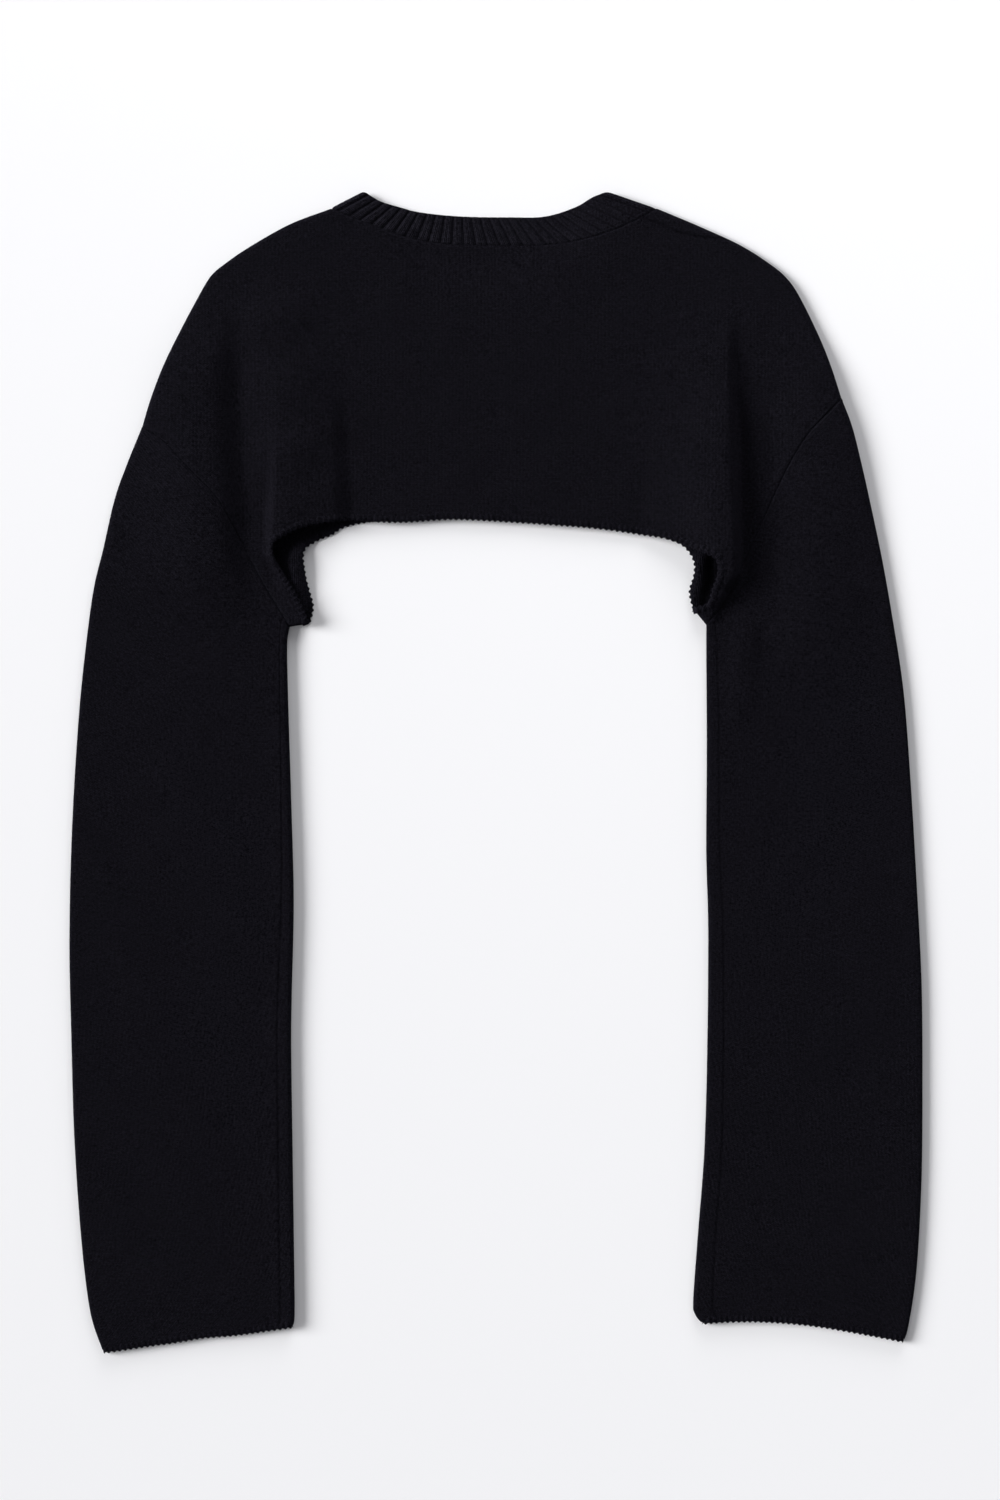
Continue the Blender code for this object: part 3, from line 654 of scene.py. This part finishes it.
def column_points(place, layer, rows):
    """The points of one column, from its top to just inside its hem."""
    run = place.hem - place.top
    length = np.linalg.norm(run)
    down = run / length
    stops = []
    for k, moved in enumerate(SEAM_ROWS):
        turn = place.turn + (QUARTER - place.turn) * k / (len(SEAM_ROWS) - 1)
        if place.outline is not None:
            slant = max(LEAST_SLANT["panel"], crossing(down, place.outline))
            moved = (edge_inset(turn) - edge_inset(place.turn)) / slant + SHOULDER_SPARE * k
        stops.append((moved * min(1.0, SHORT_COLUMN * length), turn))
    first, last = stops[-1][0], length - WELT_TUCK
    for k in range(1, rows + 1):
        stops.append((first + (last - first) * k / rows, QUARTER))
    points = []
    for moved, turn in stops:
        plan = place.top + down * moved
        low_turn = min(turn, place.side_turn)
        clear = HALF_GAP if low_turn < QUARTER else 0.0
        spare = edge_spare(turn) * -down if turn < QUARTER else np.zeros(2)
        side_spare = edge_spare(place.side_turn) * (-1 if plan[0] > 0 else 1)
        knit = plan + spare + np.array((side_spare, 0.0))
        seam = shoulder_seam_distance(plan) if layer > 0 else FAR
        points.append(Cell(plan, low_turn, 0.0, layer, clear, knit, seam))
    return points


def body_panel(name, panel, layer, step, rows):
    """A panel of the body as a thin shell."""
    left, right = half_columns(panel, "left", step), half_columns(panel, "right", step)
    columns = left + neck_columns(panel, step) + right[::-1]
    table = [column_points(place, layer, rows) for place in columns]
    piece = cloth_grid(name, table, panel)
    face_up(piece, layer)
    thicken(piece)
    report(piece)
    return piece


back = body_panel("back_knit", "back", 1, step=2.6, rows=72)
front = body_panel("front_knit", "front", -1, step=5.0, rows=40)

# %% [markdown]
# ## The sleeves
# A sleeve is a tube that lies flat, so its grid is rolled up: every row goes once round it, over the
# top and back underneath. It starts on the armhole seam and ends at the cuff. The sleeve's own seam
# does not lie on the fold but a little inside it, on the side that shows.

# %% Sleeve tubes
# How far in from the inner edge the underarm seam lies, at shares of the sleeve's length
UNDERARM_SEAM_IN = {"left": ((0.0, 0.2, 0.55, 1.0), (9.0, 8.5, 10.0, 10.0)),
                    "right": ((0.0, 0.2, 0.5, 0.85, 1.0), (11.0, 11.5, 12.5, 13.0, 14.0))}
# Rows follow the armhole in this share of a sleeve and the cuff from this share on
ARMHOLE_SHARE = 0.4
CUFF_SHARE = 0.7
SLEEVE_SEAM_ROWS = (0.0, 0.5, 1.2, 2.0, 2.8, 3.7, 5.0)
# The width that sets how many stations there are, and how far from the armhole they still shift to it
SLEEVE_WIDTH = 150.0
ARMHOLE_REACH = 30.0
# A place round a sleeve: the turn at a folded edge, or else the share of the flat part
Station = namedtuple("Station", "turn flat at_inner layer")


def sleeve_line(side, share):
    """A row of the sleeve in plan, read by shares of its width from its outer to its inner edge."""
    outer, inner = OUTER[side].share(share), INNER[side].share(share)
    pulls = ((eased(share, (0.0, ARMHOLE_SHARE), (1.0, 0.0)), ARMHOLE[side]),
             (eased(share, (CUFF_SHARE, 1.0), (0.0, 1.0)), CUFF[side]))

    def read(across):
        across = np.asarray(across, float)[..., None]
        points = outer + (inner - outer) * across
        for pull, line in pulls:
            start, end = line.share(0.0), line.share(1.0)
            points = points + pull * (line.share(across[..., 0]) - start - (end - start) * across)
        return points
    return read, float(np.linalg.norm(inner - outer))


def sleeve_stations(step):
    """The places round a sleeve, over the top and back underneath."""
    count = round(SLEEVE_WIDTH / step)
    stations = []
    for layer in (1, -1):
        rising = [Station(turn, 0.0, False, layer) for turn in quarter_turns(EDGE_TURNS)]
        flat = [Station(QUARTER, k / count, False, layer) for k in range(1, count)]
        falling = [Station(turn, 0.0, True, layer) for turn in quarter_turns(EDGE_TURNS)[::-1]]
        way = rising + flat + falling
        stations += way if layer > 0 else way[::-1][1:]
    return stations


def armhole_station(side, station):
    """A station's place beside the armhole seam."""
    near_outline, near_underarm = outline_place(side, QUARTER), underarm_place(side, QUARTER)
    if station.flat > 0.0:
        place = near_outline + (near_underarm - near_outline) * station.flat
    elif station.at_inner:
        place = underarm_place(side, station.turn)
    else:
        place = outline_place(side, station.turn)
    return armhole_point(side, place, False)


def sleeve_row(side, share, stations):
    """The stations' places on a row of the sleeve, their distances from its outer edge, its width."""
    read, width = sleeve_line(side, share)
    across = (read(1.0) - read(0.0)) / width
    outer_slant, inner_slant = (
        max(LEAST_SLANT["sleeve"], crossing(across, edge.heading(share * edge.length)))
        for edge in (OUTER[side], INNER[side]))
    start, end = EDGE_RADIUS / outer_slant, width - EDGE_RADIUS / inner_slant
    moved = []
    for station in stations:
        if station.flat > 0.0:
            moved.append(start + (end - start) * station.flat)
        elif station.at_inner:
            moved.append(width - edge_inset(station.turn) / inner_slant)
        else:
            moved.append(edge_inset(station.turn) / outer_slant)
    moved = np.array(moved)
    return read(moved / width), moved, width


def sleeve(name, side, step):
    """A sleeve as a thin shell."""
    length = 0.5 * (OUTER[side].length + INNER[side].length)
    marks = spread_out(0.0, length - WELT_TUCK, step, fine=SLEEVE_SEAM_ROWS, ends="start")
    stations = sleeve_stations(step)
    beside_seam = np.array([armhole_station(side, station) for station in stations])
    seam_shift = beside_seam - sleeve_row(side, 0.0, stations)[0]
    table = []
    for mark in marks:
        share = mark / length
        plans, moved, width = sleeve_row(side, share, stations)
        plans = plans + eased(mark, (0.0, ARMHOLE_REACH), (1.0, 0.0)) * seam_shift
        seam_in = eased(share, *UNDERARM_SEAM_IN[side])
        row = []
        for station, plan, place in zip(stations, plans, moved):
            upper = station.layer > 0
            across = place + edge_spare(station.turn) * (1 if station.at_inner else -1)
            around = across if upper else 2 * (width + 2 * edge_spare(0.0)) - across
            seam = width - place - seam_in if upper else FAR
            row.append(Cell(plan, station.turn, 0.0, station.layer, 0.0, (around, -mark), seam))
        table.append(row)
    piece = cloth_grid(name, table, "sleeve")
    join_edges()
    thicken(piece)
    report(piece)
    return piece


left_sleeve = sleeve("left_sleeve_knit", "left", step=3.0)
right_sleeve = sleeve("right_sleeve_knit", "right", step=3.0)

# %% [markdown]
# ## The neckband
# The band is a strip of ribbing, folded double and linked to the neck. Its rib is two raised wales
# and one sunk one, so each repeat has two narrow ridges and a furrow. The grid's rows go round a
# section of the band and its columns along the neck, over the back and then through the front.

# %% Neckband
RIB_COUNT = 68
STEPS_A_RIB = 12
RIB_RISE = 1.0
# Shares of the rib's rise: between the two wales, at their outer feet, and beside the furrow
BETWEEN_WALES = 0.72
WALE_FOOT = 0.3
FURROW_SIDE = 0.28
BAND_WIDTH = 20.0
BAND_DEPTH = 2.8
BAND_LIFT = 0.5


def band_length(panel):
    """The length of one layer of the band, along its middle and up to the two folds."""
    return 0.5 * (NECK_SEAM[panel].length + NECK_EDGE[panel].length)


def band_ends(panel, side, turn, depth):
    """The seam point and the free-edge point of the neckband near one of its folds."""
    edge, fold = NECK_EDGE[panel], TIP_FOLD[side]
    seam_point = neck_point(panel, neck_place(panel, side, turn, depth), False)
    end = 0.0 if side == "left" else edge.length
    inset = edge_inset(turn, depth) / crossing(edge.heading(end), fold.heading(0.0))
    return seam_point, edge.at(inset if side == "left" else edge.length - inset)


def band_section(panel, place, depth):
    """The two plan points of the band at a place along one layer, and how far round the fold it is."""
    edge = NECK_EDGE[panel]
    fold_length = EDGE_RADIUS * QUARTER
    flat_length = band_length(panel) - 2 * fold_length
    if place < fold_length or place > fold_length + flat_length:
        side = "left" if place < fold_length else "right"
        turn = min(place, band_length(panel) - place) / EDGE_RADIUS
        return (*band_ends(panel, side, turn, depth), turn)
    share = (place - fold_length) / flat_length
    seam_first, seam_last = (neck_place(panel, side, QUARTER) for side in SIDES)
    left_end, right_end = (band_ends(panel, side, QUARTER, 0.0)[1] for side in SIDES)
    edge_first = np.linalg.norm(left_end - edge.share(0.0))
    edge_last = edge.length - np.linalg.norm(right_end - edge.share(1.0))
    return (neck_point(panel, seam_first + (seam_last - seam_first) * share, False),
            edge.at(edge_first + (edge_last - edge_first) * share), QUARTER)


def rib_rise(phase):
    """The height of the ribbing within one repeat: two wales side by side, then a furrow."""
    bulge = math.sin(math.pi * ((phase * 3) % 1.0))
    if phase >= 2 / 3:
        return FURROW_SIDE * (1 - bulge) ** 1.5
    wale = BETWEEN_WALES + (1 - BETWEEN_WALES) * bulge
    return wale if 1 / 6 < phase < 1 / 2 else min(wale, WALE_FOOT + (1 - WALE_FOOT) * bulge ** 0.6)


# The band's section from its seam over its outer face, round its free edge and back along its inner
# face: place up the band, depth in it, and how much of the rib's rise shows
BAND_ROUND = ((0.0, 1.3, 0.1), (0.02, 0.6, 0.4), (0.06, 0.2, 0.8), (0.12, 0.0, 1.0), (0.25, 0.0, 1.0),
              (0.4, 0.0, 1.0), (0.55, 0.0, 1.0), (0.7, 0.0, 1.0), (0.83, 0.0, 1.0), (0.91, 0.05, 1.0),
              (0.96, 0.3, 0.9), (0.985, 0.7, 0.7), (1.0, 1.4, 0.5), (0.985, 2.1, 0.3),
              (0.95, 2.6, 0.15), (0.85, 2.8, 0.1), (0.5, 2.8, 0.1), (0.12, 2.8, 0.1), (0.0, 2.5, 0.0))
# Where in a repeat the furrow's middle lies
FURROW_PHASE = 5 / 6

total_band = band_length("back") + band_length("front")
band_columns = RIB_COUNT * STEPS_A_RIB
section = np.array([(up * BAND_WIDTH, sunk) for up, sunk, _ in BAND_ROUND + BAND_ROUND[:1]])
travelled = np.concatenate(([0.0], np.cumsum(np.linalg.norm(np.diff(section, axis=0), axis=1))))
table = []
for k in range(band_columns + 1):
    place = total_band * ((k % band_columns) + 0.5) / band_columns
    layer, panel = (1, "back") if place < band_length("back") else (-1, "front")
    along = place if layer > 0 else total_band - place
    turn = band_section(panel, along, 0.0)[2]
    lift = BAND_LIFT * 0.5 * (1 + layer * math.sin(turn))
    phase = (k % STEPS_A_RIB + 0.5) / STEPS_A_RIB
    rise = rib_rise(phase)
    # Distance from the rib's furrow, which the material sinks and darkens with painted shade
    off_furrow = abs(phase - FURROW_PHASE) * total_band / RIB_COUNT
    near, far = (band_section(panel, along, depth)[:2] for depth in (0.0, BAND_DEPTH))
    row = []
    for n, (up, sunk, share) in enumerate(BAND_ROUND + BAND_ROUND[:1]):
        depth = RIB_RISE * share * (1 - rise) + sunk - lift
        seam_point, edge_point = (a + (b - a) * depth / BAND_DEPTH for a, b in zip(near, far))
        knit = (WALE * 3 * (k + 0.5) / STEPS_A_RIB, travelled[n])
        plan = seam_point + (edge_point - seam_point) * up
        row.append(Cell(plan, turn, depth, layer, knit=knit, seam=off_furrow))
    table.append(row)
neckband = cloth_grid("neckband_rib", table)
join_edges()
bpy.ops.object.shade_smooth()
report(neckband)

# %% [markdown]
# ## The turned edges
# The hem and the cuffs have no ribbing. Their last rows are turned under and linked, which makes a
# narrow welt, a little thicker than the cloth, with a fine row of stitches that ripples its edge.
# Each is a flattened roll round the end of its shell.

# %% Turned edges
STITCH = 4.0
STEPS_A_STITCH = 9
CUFF_STEP = 1.0
# Round the roll: distance up from the edge, depth in the cloth, share of the ripple on each
WELT_ROUND = ((5.0, 0.5, 0.0, 0.0), (4.6, -0.15, 0.2, 0.9), (3.9, -0.65, 0.0, 0.8),
              (2.7, -0.8, 0.0, 0.5), (1.5, -0.7, 0.1, 0.6), (0.7, -0.25, 0.3, 0.9),
              (0.15, 0.5, 0.9, 0.6), (0.0, 1.1, 1.0, 0.0), (0.2, 1.8, 0.8, -0.5),
              (0.8, 2.35, 0.3, -0.8), (1.8, 2.5, 0.0, -0.4), (3.4, 2.45, 0.0, -0.4),
              (4.3, 2.1, 0.0, 0.0))
RIPPLE = 0.6


def welt_row(base, inward, turn, layer, mark, clear=0.0):
    """One section of a welt at a point of the cloth's edge."""
    wave = math.cos(2 * math.pi * mark / STITCH)
    row = []
    for up, sunk, edge_share, face_share in WELT_ROUND + WELT_ROUND[:1]:
        plan = base + inward * (up + RIPPLE * edge_share * wave)
        depth = sunk - RIPPLE * face_share * wave
        row.append(Cell(plan, turn, depth, layer, clear, (mark, up + sunk)))
    return row


def close_ends():
    """Fills the two open ends of the active roll."""
    bpy.ops.object.mode_set(mode="EDIT")
    bpy.ops.mesh.select_all(action="DESELECT")
    bpy.ops.mesh.select_non_manifold()
    bpy.ops.mesh.edge_face_add()
    bpy.ops.mesh.select_all(action="SELECT")
    bpy.ops.mesh.normals_make_consistent(inside=False)
    bpy.ops.object.mode_set(mode="OBJECT")


def finish_welt(name, table, closed):
    """A roll as a piece, with its ends filled if it is not a ring."""
    piece = cloth_grid(name, table)
    join_edges()
    if not closed:
        close_ends()
    bpy.ops.object.shade_smooth()
    report(piece)
    return piece


def hem_welt(name, panel, layer):
    """The turned edge of a panel's hem, from one side fold to the other."""
    left, right = HEM[panel, "left"], HEM[panel, "right"]
    path = Line(left + HEM_MIDDLE[panel][1:-1] + right[::-1])
    count = round(path.length / STITCH * STEPS_A_STITCH)
    table = []
    for k in range(count + 1):
        mark = path.length * k / count
        ahead = path.heading(mark)
        from_end = min(mark, path.length - mark)
        turn = math.acos(min(1.0, max(0.0, 1 - from_end / EDGE_RADIUS)))
        table.append(welt_row(path.at(mark), np.array((-ahead[1], ahead[0])), turn, layer, mark,
                              HALF_GAP if turn < QUARTER else 0.0))
    return finish_welt(name, table, False)


def cuff_welt(name, side):
    """The turned edge of a cuff, once round the tube."""
    stations = sleeve_stations(CUFF_STEP)
    plans = sleeve_row(side, 1.0, stations)[0]
    inward = -CUFF[side].heading(CUFF[side].length / 2)
    inward = np.array((inward[1], -inward[0])) * (1 if side == "left" else -1)
    ring = lifted([Cell(plan, place.turn, 0.0, place.layer) for plan, place in zip(plans, stations)])
    marks = np.concatenate(([0.0], np.cumsum(np.linalg.norm(np.diff(ring, axis=0), axis=1))))
    count = round(marks[-1] / STITCH) * STEPS_A_STITCH
    table = []
    for k in range(count + 1):
        mark = marks[-1] * (k % count) / count
        n = int(np.searchsorted(marks, mark, side="right")) - 1
        t = (mark - marks[n]) / (marks[n + 1] - marks[n])
        plan = plans[n] + (plans[n + 1] - plans[n]) * t
        last, ahead = stations[n], stations[n + 1]
        turn = last.turn + (ahead.turn - last.turn) * t
        layer = last.layer if t < 0.5 else ahead.layer
        stitched = mark * STITCH * count / STEPS_A_STITCH / marks[-1]
        table.append(welt_row(plan, inward, turn, layer, stitched))
    return finish_welt(name, table, True)


back_hem = hem_welt("back_hem_welt", "back", 1)
front_hem = hem_welt("front_hem_welt", "front", -1)
left_cuff = cuff_welt("left_cuff_welt", "left")
right_cuff = cuff_welt("right_cuff_welt", "right")

# %% [markdown]
# ## The wool
# Stockinette is columns of small V shapes. Each leg of a V is a short, slanted, rounded strand, and
# both are worked out from the UV map, which counts wales across and courses along. The gaps between
# the strands are painted shade: their colour is darkened where the strands would shade each other.
# Loose fibres blur the stitches and catch a little light, which a faint sheen and a fine noise give.
# Seams inside a piece and the furrows of the ribbing sink a little, from the distance that each point
# carries, and painted shade darkens their colour there.

# %% Wool
KNIT_COLOUR = (0.0092, 0.0087, 0.0122)
RIB_COLOUR = (0.0124, 0.0117, 0.0163)
RELIEF = 0.9
# Noise in the loose fibres and in the shade of larger places: scale, detail, roughness
FIBRES = (620.0, 4.0, 0.8)
CLOUDS = (38.0, 2.0, 0.5)
FUZZ = 0.6
# What each does to the colour, factor and offset: the stitches' darkens the gaps between the strands
# as painted shade, and the fibres' and the clouds' vary the tone at random
STITCH_PAINTED_SHADE = (0.8, 0.3)
FIBRE_SHADE = (5.6, -1.8)
CLOUD_SHADE = (0.2, 0.9)
# A leg of a stitch: its slant, how rounded it is, and the factor and offset of its height
LEG_SLANT = 1.5
LEG_ROUNDING = 0.6
LEG_HEIGHT = (0.55, 0.45)
# The furrow of a seam or of the ribbing: its width in millimetres, its depth, and how much painted
# shade darkens its colour
FURROW_WIDTH = 1.1
FURROW_DEPTH = 1.3
FURROW_PAINTED_SHADE = 0.35
WOOL = {"Roughness": 0.92, "Specular IOR Level": 0.0, "Sheen Weight": 0.022, "Sheen Roughness": 0.45,
        "Sheen Tint": (0.75, 0.7, 1.0, 1.0)}
PALE_SURFACE = {"Base Color": (0.9, 0.9, 0.915, 1.0), "Roughness": 0.9, "Specular IOR Level": 0.1}


def plain_material(name, values):
    """A material whose shader has some plain values, and that shader."""
    material = bpy.data.materials.new(name)
    material.use_nodes = True
    shader = material.node_tree.nodes["Principled BSDF"]
    fill(shader, values)
    return material, shader


def math_node(tree, operation, *values):
    """A Math node with its inputs filled, and its result."""
    node = tree.nodes.new("ShaderNodeMath")
    node.operation = operation
    for k, value in enumerate(values):
        if isinstance(value, (int, float)):
            node.inputs[k].default_value = value
        else:
            tree.links.new(value, node.inputs[k])
    return node.outputs[0]


def noise_node(tree, places, scale, detail, roughness):
    """A Noise node's value at some places."""
    node = tree.nodes.new("ShaderNodeTexNoise")
    fill(node, {"Scale": scale, "Detail": detail, "Roughness": roughness})
    tree.links.new(places, node.inputs["Vector"])
    return node.outputs["Fac"]


def stitch_height(tree):
    """The relief of stockinette, from 0 between the strands to 1 on top of them."""
    maths = partial(math_node, tree)
    knit = tree.nodes.new("ShaderNodeUVMap")
    knit.uv_map = "knit"
    parts = tree.nodes.new("ShaderNodeSeparateXYZ")
    tree.links.new(knit.outputs["UV"], parts.inputs[0])
    in_wale = maths("FRACT", parts.outputs["X"])
    from_middle = maths("ABSOLUTE", maths("SUBTRACT", in_wale, 0.5))
    strand = maths("SINE", maths("MULTIPLY", from_middle, 2 * math.pi))
    along = maths("MULTIPLY_ADD", from_middle, LEG_SLANT, parts.outputs["Y"])
    leg = maths("SINE", maths("MULTIPLY", maths("FRACT", along), math.pi))
    rounded = maths("POWER", strand, LEG_ROUNDING)
    return maths("MULTIPLY", rounded, maths("MULTIPLY_ADD", leg, *LEG_HEIGHT))


def wool(name, colour):
    """Near-black wool knit, with painted shade between its strands and in its furrows."""
    material, shader = plain_material(name, WOOL)
    tree = material.node_tree
    maths = partial(math_node, tree)
    places = tree.nodes.new("ShaderNodeTexCoord").outputs["Object"]
    stitches = stitch_height(tree)
    fibres = noise_node(tree, places, *FIBRES)
    clouds = noise_node(tree, places, *CLOUDS)

    seam = tree.nodes.new("ShaderNodeAttribute")
    seam.attribute_name = "seam"
    apart = maths("DIVIDE", seam.outputs["Fac"], FURROW_WIDTH)
    squared = maths("MULTIPLY", apart, apart)
    furrow = maths("EXPONENT", maths("MULTIPLY", squared, -1.0))

    fuzzy = maths("MULTIPLY_ADD", fibres, FUZZ, stitches)
    height = maths("MULTIPLY_ADD", furrow, -FURROW_DEPTH, fuzzy)
    bump = tree.nodes.new("ShaderNodeBump")
    fill(bump, {"Strength": 1.0, "Distance": RELIEF * METRE})
    tree.links.new(height, bump.inputs["Height"])
    tree.links.new(bump.outputs["Normal"], shader.inputs["Normal"])

    # Painted shade: the colour is darkened between the strands, where they would shade each other
    painted_stitch_shade = maths("MULTIPLY_ADD", stitches, *STITCH_PAINTED_SHADE)
    heather = maths("MULTIPLY_ADD", fibres, *FIBRE_SHADE)
    drift = maths("MULTIPLY_ADD", clouds, *CLOUD_SHADE)
    # Random tone from the fibres and the clouds, times the painted shade between the strands
    shade = maths("MULTIPLY", maths("MULTIPLY", painted_stitch_shade, heather), drift)
    # Painted shade: the colour is darkened in the furrow of a seam or a rib, where shadow would fall
    painted_furrow_shade = maths("MULTIPLY_ADD", furrow, -FURROW_PAINTED_SHADE, 1.0)
    shade = maths("MULTIPLY", shade, painted_furrow_shade)
    tint = tree.nodes.new("ShaderNodeVectorMath")
    tint.operation = "SCALE"
    fill(tint, {0: colour})
    tree.links.new(shade, tint.inputs["Scale"])
    tree.links.new(tint.outputs["Vector"], shader.inputs["Base Color"])
    return material


knit_wool = wool("near-black stockinette", KNIT_COLOUR)
rib_wool = wool("near-black ribbing", RIB_COLOUR)
floor.data.materials.append(plain_material("pale surface", PALE_SURFACE)[0])

# %% [markdown]
# ## Handing over
# Every piece rides on the sweater's one body, and each but the welts stands for its own solid, which
# is hidden. Each is a sheet of knit that lies as it was laid, so its flat size, the area of one face,
# is printed for each but the welts: the sleeves were knitted flat and seamed into tubes, which makes
# their cut twice as wide as they lie.

# %% Pieces and sizes
def hand_over(piece, material, node=None):
    """Gives a piece its material and its body, and hides the solid that it stands for, if one is named.
    """
    piece.data.materials.clear()
    piece.data.materials.append(material)
    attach(piece, "root")
    if node:
        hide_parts(node)


hand_over(back, knit_wool, "back_panel")
hand_over(front, knit_wool, "front_panel")
hand_over(left_sleeve, knit_wool, "sleeve_left")
hand_over(right_sleeve, knit_wool, "sleeve_right")
hand_over(neckband, rib_wool, "neckband")
for welt in (back_hem, front_hem, left_cuff, right_cuff):
    hand_over(welt, knit_wool)


def outer_area(piece):
    """Half of a closed shell's area, in square metres."""
    return sum(face.area for face in piece.data.polygons) / 2


for piece in (back, front, left_sleeve, right_sleeve, neckband):
    print(piece.name, "one face, square metres", round(outer_area(piece), 4))
